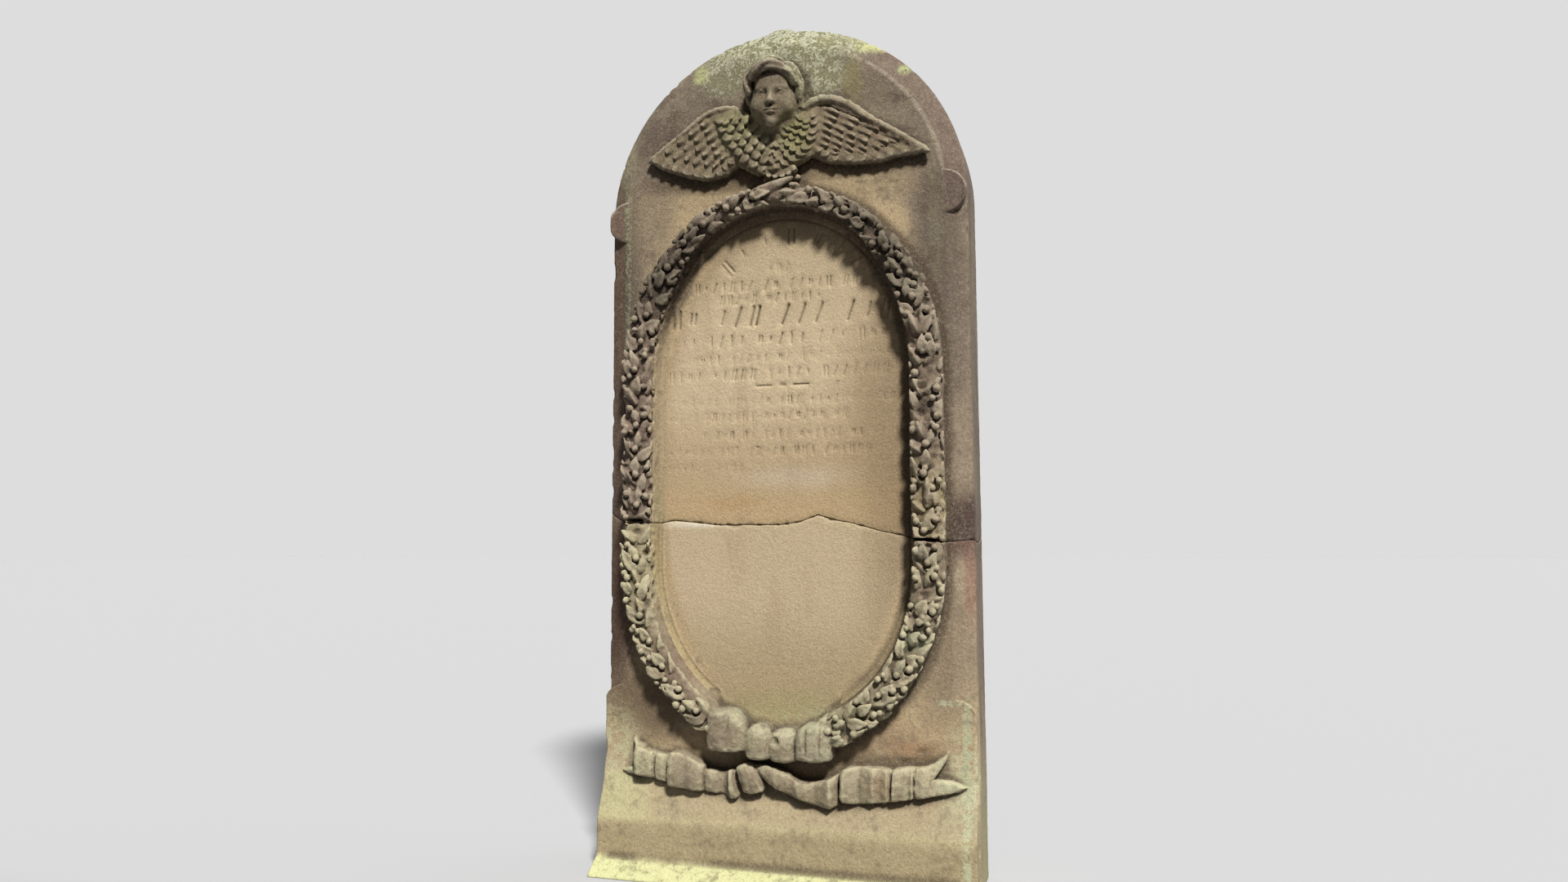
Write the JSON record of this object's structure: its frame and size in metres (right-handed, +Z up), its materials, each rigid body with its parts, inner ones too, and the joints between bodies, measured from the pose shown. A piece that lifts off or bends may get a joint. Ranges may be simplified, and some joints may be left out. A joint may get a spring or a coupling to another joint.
{
  "type": "carved gravestone",
  "caption": "Round-topped sandstone gravestone with winged head, wreath round a sunk panel, ribbon bow and moulded base, broken across into two stones.",
  "frame": {"origin": "on the flat underside, at the middle of the slab's width and below the middle of the slab's thickness", "axes": "+X along the face to the right as seen from the front, +Z up, the carved face looks towards -Y"},
  "size_m": [0.76, 0.225, 1.72],
  "materials": {
    "upper_sandstone": "weathered ochre sandstone with purple-grey patina, dark stains and pale green lichen",
    "lower_sandstone": "weathered pinkish tan sandstone with pale green algae on the base and edges"
  },
  "bodies": {
    "root": {"upper_stone": "upper_sandstone", "lower_stone": "lower_sandstone"}
  },
  "joints": []
}
